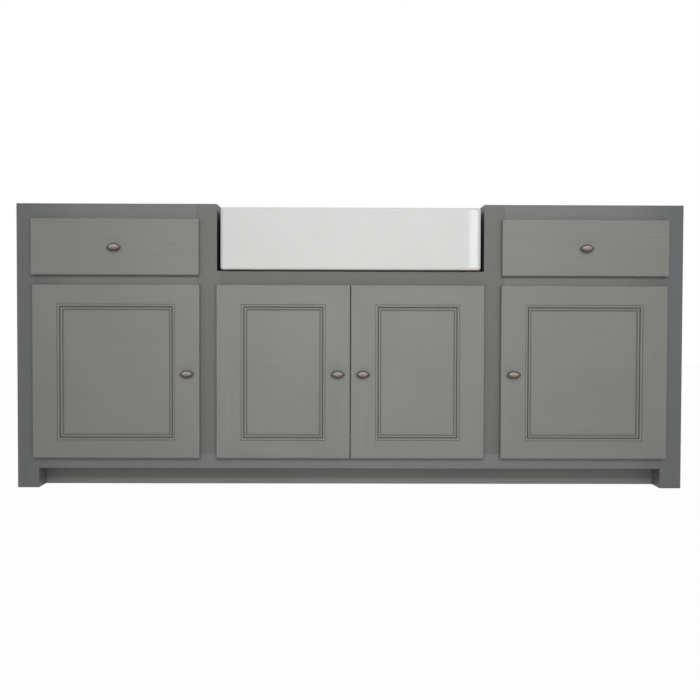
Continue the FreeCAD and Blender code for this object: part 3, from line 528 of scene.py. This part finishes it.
def solid_timber(name, wood, grain_axis, band_scale):
    """A plain board of solid wood, with its end grain."""
    material, tree, shader = new_material(name)
    place = tree.place()
    turned = tree.stretched(place, (1, 1, 1), GRAIN_TURNS[grain_axis])
    colour, roughness, height = wooden(tree, turned, wood, band_scale)
    ends = use_group(tree, END_GRAIN, Place=place, Facing=tree.facing(), Along=AXES[grain_axis])
    end_colour = tree.mix(ends["Flecks"], shaded(wood[1], 0.78), wood[2])
    finish(tree, shader, tree.mix(ends["Cut"], colour, end_colour), roughness, height, WOOD_RELIEF)
    return material


DRAWER_SIDE = 15 * MM
DOVETAILS = 3
PIN_HALF = 4 * MM
PIN_FLARE = 2 * MM


def drawer_box_oak(name, wood, low, high):
    """A dovetailed box: grain along its depth in the sides and along its width in the front and back."""
    material, tree, shader = new_material(name)
    place = tree.place()
    spot = tree.axes(place)
    pitch = (high.z - low.z) / DOVETAILS
    mid_boards = inside(tree, spot["X"], low.x + DRAWER_SIDE, high.x - DRAWER_SIDE)
    from_end = from_borders(tree, spot["Y"], low.y, high.y)
    from_joint = tree.sum("PINGPONG", tree.sum("SUBTRACT", spot["Z"], low.z), pitch / 2)
    pin_edge = tree.sum("MULTIPLY_ADD", from_end, PIN_FLARE / DRAWER_SIDE, PIN_HALF)
    within = tree.sum("LESS_THAN", from_joint, pin_edge)
    pins = tree.times(within, tree.sum("LESS_THAN", from_end, DRAWER_SIDE))
    crosswise = tree.sum("MAXIMUM", mid_boards, pins)

    choose = tree.add("ShaderNodeMix", data_type="VECTOR")
    tree.feed(choose.inputs[0], crosswise)
    tree.feed(choose.inputs[4], tree.stretched(place, (1, 1, 1), GRAIN_TURNS["Y"]))
    tree.feed(choose.inputs[5], tree.stretched(place, (1, 1, 1), GRAIN_TURNS["X"]))
    colour, roughness, height = wooden(tree, choose.outputs[1], wood, OAK_BANDS)
    along = tree.add("ShaderNodeMix", data_type="VECTOR")
    tree.feed(along.inputs[0], crosswise)
    along.inputs[4].default_value = AXES["Y"]
    along.inputs[5].default_value = AXES["X"]
    ends = use_group(tree, END_GRAIN, Place=place, Facing=tree.facing(), Along=along.outputs[1])
    end_colour = tree.mix(ends["Flecks"], shaded(wood[1], 0.8), wood[2])
    finish(tree, shader, tree.mix(ends["Cut"], colour, end_colour), roughness, height, WOOD_RELIEF)
    return material


def glaze(name, colour):
    """White fireclay under a clear glaze, with a faint orange peel and a few grey specks."""
    material, tree, shader = new_material(name)
    place = tree.place()
    mottle = use_group(tree, MOTTLE, Place=place, Scale=6)
    specks = tree.between(tree.noise(place, 900, 1), 0.7, 0.78)
    clouded = tree.mix(mottle["Clouds"], shaded(colour, 0.97), shaded(colour, 1.02))
    specked = tree.mix(tree.times(specks, 0.25), clouded, shaded(colour, 0.6))
    finish(tree, shader, specked, tree.between(mottle["Speckle"], 0, 1, 0.05, 0.1),
           tree.noise(place, 55, 2), GLAZE_RELIEF)
    shader.inputs["Coat Weight"].default_value = 0.5
    shader.inputs["Coat Roughness"].default_value = 0.03
    return material


# Pewter tones: the painted highlight on the knob's upper side, its painted shade below and its scratches, and
# the patina
PEWTER_LIT = srgb(188, 184, 178)
PEWTER_SHADED_DULL = srgb(132, 122, 112)
PEWTER_BROWN = srgb(84, 77, 70)


def pewter(name, rim_y):
    """Antique pewter: a dome with a painted highlight on its upper side and painted shade below, and a dark
    rim with patina behind it.
    """
    material, tree, shader = new_material(name)
    place = tree.place()
    marks = use_group(tree, FINE_SCRATCHES, Place=place, Along=(900, 900, 900))
    upward = tree.axes(tree.facing())["Z"]
    drift = tree.sum("MULTIPLY_ADD", marks["Tarnish"], 0.3, -0.15)
    turned_up = tree.sum("ADD", upward, drift)
    # painted highlight on the dome's upward faces and painted shade on its downward ones
    dome = tree.mix(tree.between(turned_up, -0.35, 0.75), PEWTER_SHADED_DULL, PEWTER_LIT)
    behind = tree.between(tree.axes(place)["Y"], rim_y - 0.8 * MM, rim_y)
    aged = tree.mix(tree.times(behind, 0.9), dome, PEWTER_BROWN)
    shader.inputs["Metallic"].default_value = 1
    finish(tree, shader, tree.mix(tree.times(marks["Scratches"], 0.25), aged, shaded(PEWTER_SHADED_DULL, 0.6)),
           tree.between(marks["Tarnish"], 0, 1, 0.42, 0.28), marks["Scratches"], PEWTER_RELIEF)
    return material


def plated_steel(name, colour, along):
    material, tree, shader = new_material(name)
    marks = use_group(tree, FINE_SCRATCHES, Place=tree.place(), Along=along)
    shader.inputs["Metallic"].default_value = 1
    finish(tree, shader, tree.mix(marks["Tarnish"], shaded(colour, 0.86), colour),
           tree.between(marks["Scratches"], 0, 1, 0.22, 0.38), marks["Scratches"], FINE_RELIEF)
    return material


def soft_pad(name):
    material, tree, shader = new_material(name)
    mottle = use_group(tree, MOTTLE, Place=tree.place(), Scale=90)
    finish(tree, shader, tree.mix(mottle["Clouds"], srgb(196, 197, 196), srgb(222, 222, 220)),
           tree.between(mottle["Speckle"], 0, 1, 0.35, 0.55), mottle["Speckle"], FINE_RELIEF)
    return material


def dress(names, material):
    for name in names:
        slots = nodes[name].data.materials
        slots.clear()
        slots.append(material)


# The paint of each kind of piece, some as lighter or darker copies that are painted light and shade, the
# plinth's painted shadow and the sink's glaze
FRONT_GREY = srgb(132, 132, 129)
# A lighter copy of the front paint on the drawers: partly painted light, partly making up for their darker
# brush bands
DRAWER_LIT_GREY = shaded(FRONT_GREY, 1.03)
RAIL_GREY = srgb(121, 122, 121)
# Lighter paint on the rails under the drawers: painted light where the drawers' shadow falls
MIDDLE_RAIL_LIT_GREY = srgb(127, 127, 124)
# Darker paint on the rail under the sink: painted shadow of the sink
SINK_RAIL_SHADOW_GREY = srgb(110, 110, 107)
# Darker paint on the inner stiles: painted shade, a shaded copy of the frame's paint
STILE_SHADED_GREY = srgb(113, 114, 111)
# Dark paint on the cheeks beside the sink, standing in for the shade in the narrow gaps there
CHEEK_SHADE_GREY = srgb(74, 74, 72)
# Lighter paint on the plinth: painted light in the shade of the overhang
PLINTH_LIT_GREY = srgb(128, 129, 128)
# The colour of the painted shadow under the overhang on the plinth's upper part
PLINTH_SHADOW_BROWN = srgb(112, 104, 92)
END_GREY = srgb(110, 111, 112)
# The tone of the painted shade that the face frame takes on towards the cabinet's ends
PAINTED_END_SHADE = srgb(94, 96, 99)
GLAZE_WHITE = srgb(210, 210, 209)
# Each wood: its pale and its dark growth, its pores, and how narrow the dark growth is
BIRCH = (srgb(222, 200, 166), srgb(211, 187, 152), srgb(184, 155, 118), 1.1)
PINE = (srgb(222, 193, 150), srgb(182, 138, 90), srgb(150, 112, 72), 3.2)
OAK = (srgb(208, 175, 130), srgb(166, 128, 84), srgb(128, 94, 58), 2.0)

END_UPRIGHTS = ["end_stile_left", "end_stile_right", "foot_blocks"]
INNER_UPRIGHTS = ["inner_stile_left", "inner_stile_right"]
FRAME_UPRIGHTS = END_UPRIGHTS + INNER_UPRIGHTS
FRAME_RAILS = ["bottom_rail", "top_rails", "middle_rails", "sink_rail", "plinth_board"]
CHEEKS = ["sink_cheeks"]
END_PANELS = ["end_panel_left", "end_panel_right"]
UPRIGHT_BOARDS = ["partition_left", "partition_right"]
BACK_BOARDS = ["back_panels", "service_back_panel"]
LEVEL_BOARDS = ["base_panel", "worktop_stretchers", "shelves"]
PINE_BOARDS = ["sink_bearers", "runner_packers"]


def dress_cabinet():
    dress(END_UPRIGHTS, frame_paint("end stile paint", RAIL_GREY, 0.0))
    dress(INNER_UPRIGHTS, paint("inner stile shaded paint", STILE_SHADED_GREY))
    dress(CHEEKS, paint("cheek painted shade", CHEEK_SHADE_GREY))
    dress(["top_rails", "bottom_rail"], frame_paint("rail paint", RAIL_GREY, 1.0))
    dress(["middle_rails"], frame_paint("middle rail lit paint", MIDDLE_RAIL_LIT_GREY, 1.0))
    dress(["sink_rail"], paint("sink rail shadowed paint", SINK_RAIL_SHADOW_GREY, 1.0))
    dress(["plinth_board"], plinth_paint("plinth paint", PLINTH_LIT_GREY, PLINTH_SHADOW_BROWN, *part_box("plinth_board")))
    for door in DOORS:
        low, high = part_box(f"{door}_moulding")
        sides = [corner.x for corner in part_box(f"{door}_frame")]
        dress([f"{door}_frame"], door_paint(f"{door} paint", FRONT_GREY, low.x, high.x, *sides))
        dress([f"{door}_moulding"], moulding_paint(f"{door} moulding paint", FRONT_GREY, low, high))
    dress([f"{door}_panel" for door in DOORS], paint("panel paint", FRONT_GREY, 1.0, SMOOTH_BRUSHED))
    drawer_paint = paint("drawer front lit paint", DRAWER_LIT_GREY, 1.0, DRAWER_BRUSHED)
    dress([f"{drawer}_front" for drawer in DRAWERS], drawer_paint)

    dress(END_PANELS, end_panel_finish("end panel finish", END_GREY, BIRCH))
    dress(UPRIGHT_BOARDS, plywood("birch ply upright", BIRCH, "Z", "X"))
    dress(BACK_BOARDS, plywood("birch ply back", BIRCH, "Z", "Y"))
    dress(LEVEL_BOARDS, plywood("birch ply level", BIRCH, "X", "Z"))
    dress(["rear_rails"], plywood("birch ply rail", BIRCH, "X", "Y"))
    dress(PINE_BOARDS, solid_timber("pine", PINE, "Y", PINE_BANDS))
    for drawer in DRAWERS:
        dress([f"{drawer}_box"], drawer_box_oak(f"{drawer} oak", OAK, *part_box(f"{drawer}_box")))
    bottom_ply = plywood("birch ply drawer bottom", BIRCH, "X", "Z", BOTTOM_BANDS)
    dress([f"{drawer}_bottom" for drawer in DRAWERS], bottom_ply)

    dress(["sink"], glaze("fireclay glaze", GLAZE_WHITE))
    dress(["hinge_arms", "shelf_pins"] + [f"{door}_hinge_cups" for door in DOORS], NICKEL)
    runners = [f"{drawer}_{member}_runners" for drawer in DRAWERS for member in ("middle", "inner")]
    dress(["runner_outer_members"] + runners, ZINC)
    dress(["door_bumpers"], soft_pad("soft pad"))


# Edges

FRAME_EDGE = 0.7 * MM
BOARD_EDGE = 0.5 * MM
BOX_EDGE = 0.4 * MM
WELD_WITHIN = 0.01 * MM
SHARPEST = 40


def ease_edges(names, width):
    """Takes the knife edge off square pieces, which gives their joints a fine shadow line."""
    for name in names:
        weld = nodes[name].modifiers.new("weld", "WELD")
        weld.merge_threshold = WELD_WITHIN
        bevel = nodes[name].modifiers.new("eased edges", "BEVEL")
        bevel.width = width
        bevel.segments = 2
        bevel.limit_method = "ANGLE"
        bevel.angle_limit = math.radians(SHARPEST)
        bevel.use_clamp_overlap = True
        normals = nodes[name].modifiers.new("normals", "WEIGHTED_NORMAL")
        normals.keep_sharp = True


# Knobs and screws

def add_skin(bm, rings, close_start=True, close_end=True):
    """Joins rings of places into a skin, closes its ends where asked, and gives the rings' corners."""
    loops = [[bm.verts.new(point) for point in ring] for ring in rings]
    for first, second in zip(loops, loops[1:]):
        for step in range(len(first)):
            after = (step + 1) % len(first)
            bm.faces.new((first[step], first[after], second[after], second[step]))
    if close_start:
        bm.faces.new(loops[0][::-1])
    if close_end:
        bm.faces.new(loops[-1])
    return loops


def new_piece(name, bm, material, body, angle=50):
    """Turns a mesh into a piece that rides on a body, with the given material."""
    bmesh.ops.recalc_face_normals(bm, faces=bm.faces)
    mesh = bpy.data.meshes.new(name)
    bm.to_mesh(mesh)
    bm.free()
    mesh.materials.append(material)
    for polygon in mesh.polygons:
        polygon.use_smooth = True
    mesh.set_sharp_from_angle(angle=math.radians(angle))
    piece = bpy.data.objects.new(name, mesh)
    bpy.context.scene.collection.objects.link(piece)
    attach(piece, body)
    return piece


def turns(steps):
    return [2 * math.pi * step / steps for step in range(steps)]


# Each ring of the pointed oval head: its distance off the front, and its size as a share of the rim's
HEAD_RINGS = [
    (12.6, 0.3), (12.8, 0.78), (13.2, 0.88), (14.0, 0.96), (15.2, 1.0), (16.4, 0.985), (17.3, 0.94),
    (17.8, 0.87), (18.0, 0.81), (18.3, 0.785), (19.4, 0.765), (21.2, 0.7), (22.9, 0.6), (24.2, 0.48),
    (25.2, 0.34), (25.8, 0.19), (26.0, 0.06)]
# Each ring of the turned stem: its distance off the front, and its radius
STEM_RINGS = [
    (0.0, 8.5), (2.4, 8.5), (3.0, 8.1), (3.3, 7.0), (4.0, 5.8), (5.4, 5.1), (8.0, 5.0), (11.2, 5.2),
    (13.2, 6.6)]
HEAD_HALF_WIDTH = 22.0
HEAD_HALF_HEIGHT = 11.5
HEAD_GROOVE = 18.4
KNOB_STEPS = 48
# How slender the oval's points are, and how full its sides
OVAL_POINT = 2.1
OVAL_SIDE = 0.8


def pointed_oval(turn):
    """One place round an oval with pointed ends, for a half width and a half height of 1."""
    across, up = math.cos(turn), math.sin(turn)
    return across, math.copysign(max(0.0, 1 - abs(across) ** OVAL_POINT) ** OVAL_SIDE, up)


def make_knobs():
    """A turned stem and a pointed oval head with a rim, a groove and a dome."""
    face_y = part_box("right_door_knob")[1].y
    material = pewter("antique pewter", face_y - HEAD_GROOVE * MM)
    outline = [pointed_oval(turn) for turn in turns(KNOB_STEPS)]
    for front in DOORS + DRAWERS:
        low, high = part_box(f"{front}_knob")
        foot = Vector(((low.x + high.x) / 2, high.y, (low.z + high.z) / 2))

        def spot(across, reach, up, foot=foot):
            return foot + Vector((across, -reach, up)) * MM

        bm = bmesh.new()
        head = [[spot(HEAD_HALF_WIDTH * share * x, reach, HEAD_HALF_HEIGHT * share * z) for x, z in outline]
                for reach, share in HEAD_RINGS]
        stem = [[spot(radius * math.cos(turn), reach, radius * math.sin(turn)) for turn in turns(KNOB_STEPS)]
                for reach, radius in STEM_RINGS]
        add_skin(bm, head)
        add_skin(bm, stem)
        knob = new_piece(f"{front}_cast_knob", bm, material, front)
        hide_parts(f"{front}_knob")


# Each ring of a pan head, as shares of its height and its radius, and the cross in it as shares of its radius
PAN_RINGS = [(0.0, 1.0), (0.3, 1.0), (0.62, 0.9), (0.86, 0.74), (1.0, 0.54)]
SCREW_STEPS = 20
CROSS_REACH = 0.42
CROSS_HALF = 0.1
CROSS_DEPTH = 0.55
CROSS_TAPER = 0.8


def cross_corners():
    corners = []
    for quarter in turns(4):
        for x, y in ((CROSS_REACH, -CROSS_HALF), (CROSS_REACH, CROSS_HALF), (CROSS_HALF, CROSS_HALF)):
            corners.append((x * math.cos(quarter) - y * math.sin(quarter),
                            x * math.sin(quarter) + y * math.cos(quarter)))
    return corners


def add_screw(bm, seat, outward, radius, height):
    """A pan head with a sunk cross, standing on a face that looks outward."""
    swing = Vector((0, 0, 1)).rotation_difference(Vector(outward))

    def spot(x, y, out):
        return Vector(seat) + swing @ Vector((x * radius, y * radius, out * height))

    head_rings = [[spot(share * math.cos(turn), share * math.sin(turn), out) for turn in turns(SCREW_STEPS)]
                  for out, share in PAN_RINGS]
    cross_rings = [[spot(x * share, y * share, out) for x, y in cross_corners()]
                   for out, share in ((1.0, 1.0), (1.0 - CROSS_DEPTH, CROSS_TAPER))]
    head = add_skin(bm, head_rings, close_end=False)
    cross = add_skin(bm, cross_rings, close_start=False)
    border = []
    for loop in (head[-1], cross[0]):
        border += [bm.edges.get((loop[step], loop[step - 1])) for step in range(len(loop))]
    bmesh.ops.triangle_fill(bm, edges=border, use_beauty=True)


def make_screws(name, body, places, outward, radius, height):
    """Screws on faces that look outward or, where no direction is given, to the cabinet's middle."""
    bm = bmesh.new()
    for place in places:
        side = (-math.copysign(1, place[0]), 0, 0) if outward is None else outward
        add_screw(bm, place, side, radius * MM, height * MM)
    new_piece(name, bm, NICKEL, body, 35)


# The faces of the hinge plates, which look to the middle of each opening, and the screws in each plate
PLATE_FACES_X = (952.6, 393.3)
PLATE_Y = -248.75
HINGE_HEIGHTS = (184, 533)
PLATE_SCREW_RISE = 15

# The radius and the height of each kind of screw head, and where the screws stand in a drawer's inner front
PLATE_SCREW = (3.3, 1.7)
KNOB_BOLT = (4.6, 2.4)
FRONT_SCREW = (4.0, 2.1)
FRONT_SCREWS_ACROSS = (0.16, 0.84)
FRONT_SCREWS_UP = (0.3, 0.75)
BACKWARD = (0, 1, 0)


def make_fasteners():
    """Screws in the hinge plates, behind each knob and behind each drawer front."""
    plate_seats = [(side * x * MM, PLATE_Y * MM, (z + rise) * MM)
                   for side in (-1, 1) for x in PLATE_FACES_X
                   for z in HINGE_HEIGHTS for rise in (-PLATE_SCREW_RISE, PLATE_SCREW_RISE)]
    make_screws("hinge_plate_screws", "carcass", plate_seats, None, *PLATE_SCREW)
    for front in DOORS + DRAWERS:
        low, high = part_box(f"{front}_knob")
        if front in DOORS:
            back_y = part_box(f"{front}_frame")[1].y
        else:
            back_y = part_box(f"{front}_box")[0].y + DRAWER_SIDE
        seat = ((low.x + high.x) / 2, back_y, (low.z + high.z) / 2)
        make_screws(f"{front}_knob_bolt", front, [seat], BACKWARD, *KNOB_BOLT)
    for drawer in DRAWERS:
        low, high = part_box(f"{drawer}_box")
        seats = [(low.x + (high.x - low.x) * across, low.y + DRAWER_SIDE, low.z + (high.z - low.z) * up)
                 for across in FRONT_SCREWS_ACROSS for up in FRONT_SCREWS_UP]
        make_screws(f"{drawer}_front_screws", drawer, seats, BACKWARD, *FRONT_SCREW)


# Each ring of a pin's head: how far it stands out, and its radius
PIN_RINGS = [(0.0, 1.7), (0.35, 1.7), (0.6, 1.2)]
PIN_STEPS = 12
PIN_PITCH = 118 * MM
PIN_INSET = 4.5 * MM
BOARD_MIDDLE = 9 * MM


def pin_line(start, end):
    """Places from start to end, evenly spaced at about the pins' pitch."""
    start, end = Vector(start), Vector(end)
    count = max(1, round((end - start).length / PIN_PITCH))
    return [start.lerp(end, step / count) for step in range(count + 1)]


def make_back_pins():
    """The heads of the pins that hold the back panels to the partitions, the base and the top rail."""
    low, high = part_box("back_panels")
    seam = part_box("service_back_panel")[1].x
    low_z, high_z = low.z + BOARD_MIDDLE, high.z - BOARD_MIDDLE
    places = []
    for left, right in ((low.x, -seam), (-seam, seam), (seam, high.x)):
        left, right = left + PIN_INSET, right - PIN_INSET
        for z in (low_z, high_z):
            places += pin_line((left, high.y, z), (right, high.y, z))
        for x in (left, right):
            if abs(x) < seam + BOARD_MIDDLE:
                places += pin_line((x, high.y, low_z), (x, high.y, high_z))[1:-1]
    bm = bmesh.new()
    for place in places:
        add_skin(bm, [[place + Vector((radius * math.cos(turn), out, radius * math.sin(turn))) * MM
                       for turn in turns(PIN_STEPS)] for out, radius in PIN_RINGS])
    new_piece("back_panel_pins", bm, ZINC, "carcass", 35)


# Studio

# The air's light, each lamp's power, and how much of the floor that the eye sees is plain white
AIR_STRENGTH = 0.25
FRONT_LIGHT = 9.3
FILL_LIGHT = 5.4
TOP_LIGHT = 3.5
WINDOW_LIGHT = 0.5
BACK_LIGHT = 24
FLOOR_GLOW = 0.975
FLOOR_TONES = ((0.9, 0.9, 0.9, 1), (0.93, 0.93, 0.93, 1))
FLOOR_REACH = 9


def light_panel(name, power, place, aim, width, height, spread=180, mirrored=False):
    """A soft lamp at a place, turned to another place. It shows in mirror images only where asked."""
    data = bpy.data.lights.new(name, "AREA")
    data.shape = "RECTANGLE"
    data.size = width
    data.size_y = height
    data.energy = power
    data.spread = math.radians(spread)
    lamp = bpy.data.objects.new(name, data)
    lamp.location = place
    lamp.visible_camera = False
    lamp.visible_glossy = mirrored
    lamp.rotation_euler = (Vector(aim) - Vector(place)).to_track_quat("-Z", "Y").to_euler()
    bpy.context.scene.collection.objects.link(lamp)


def seen_rays(tree):
    """1 for what the eye sees straight on, in a mirror image or through glass, and else 0."""
    rays = tree.add("ShaderNodeLightPath").outputs
    seen = tree.sum("MAXIMUM", rays["Is Camera Ray"], rays["Is Glossy Ray"])
    return tree.sum("MAXIMUM", seen, rays["Is Transmission Ray"])


def make_air():
    """White all round to the eye and in mirror images, and a plain soft light otherwise."""
    world = bpy.data.worlds.new("studio air")
    bpy.context.scene.world = world
    world.use_nodes = True
    tree = Tree(world.node_tree)
    background = world.node_tree.nodes["Background"]
    background.inputs["Color"].default_value = (1, 1, 1, 1)
    tree.feed(background.inputs["Strength"], tree.between(seen_rays(tree), 0, 1, AIR_STRENGTH, 1.0))


def make_floor():
    """A pale floor that shows white and keeps a faint shadow."""
    bm = bmesh.new()
    bmesh.ops.create_grid(bm, x_segments=1, y_segments=1, size=FLOOR_REACH)
    mesh = bpy.data.meshes.new("studio_floor")
    bm.to_mesh(mesh)
    bm.free()
    floor = bpy.data.objects.new("studio_floor", mesh)
    bpy.context.scene.collection.objects.link(floor)
    material, tree, shader = new_material("pale floor")
    mottle = use_group(tree, MOTTLE, Place=tree.place(), Scale=3)
    tree.feed(shader.inputs["Base Color"], tree.mix(mottle["Clouds"], *FLOOR_TONES))
    shader.inputs["Roughness"].default_value = 0.9
    glow = tree.add("ShaderNodeEmission")
    glow.inputs["Color"].default_value = (1, 1, 1, 1)
    blend = tree.add("ShaderNodeMixShader")
    tree.feed(blend.inputs[0], tree.times(seen_rays(tree), FLOOR_GLOW))
    tree.feed(blend.inputs[1], shader.outputs[0])
    tree.feed(blend.inputs[2], glow.outputs[0])
    tree.feed(material.node_tree.nodes["Material Output"].inputs["Surface"], blend.outputs[0])
    mesh.materials.append(material)


def make_studio():
    bpy.context.scene.view_settings.view_transform = "Standard"
    make_air()
    make_floor()
    light_panel("front_light", FRONT_LIGHT, place=(0.2, -3.3, 1.6), aim=(0.05, FACE_Y, 0.84),
                width=1.9, height=0.4, spread=68)
    light_panel("fill_light", FILL_LIGHT, place=(0.06, -3.4, 0.5), aim=(0.05, FACE_Y, 0.5),
                width=1.4, height=0.5, spread=100)
    light_panel("window_light", WINDOW_LIGHT, place=(0.645, -2.5, 1.1), aim=(0.36, FACE_Y, 0.76),
                width=0.05, height=0.9, mirrored=True)
    light_panel("top_light", TOP_LIGHT, place=(0, 0.25, 2.7), aim=(0, 0.25, 0.8),
                width=2.4, height=0.5, spread=70)
    for name, side in (("back_left_light", -1), ("back_right_light", 1)):
        light_panel(name, BACK_LIGHT, place=(2.6 * side, 2.6, 1.7), aim=(0.5 * side, 0.2, 0.5),
                    width=1.6, height=1.2)


make_camera()
NICKEL = plated_steel("nickel plate", srgb(206, 204, 200), (260, 260, 1400))
ZINC = plated_steel("zinc plate", srgb(204, 208, 212), (1600, 40, 1600))
dress_cabinet()
ease_edges(FRAME_UPRIGHTS + FRAME_RAILS + CHEEKS, FRAME_EDGE)
ease_edges(["base_panel", "shelves", "service_back_panel"] + PINE_BOARDS, BOARD_EDGE)
ease_edges([f"{drawer}_box" for drawer in DRAWERS] + ["door_bumpers"], BOX_EDGE)
make_knobs()
make_fasteners()
make_back_pins()
make_studio()
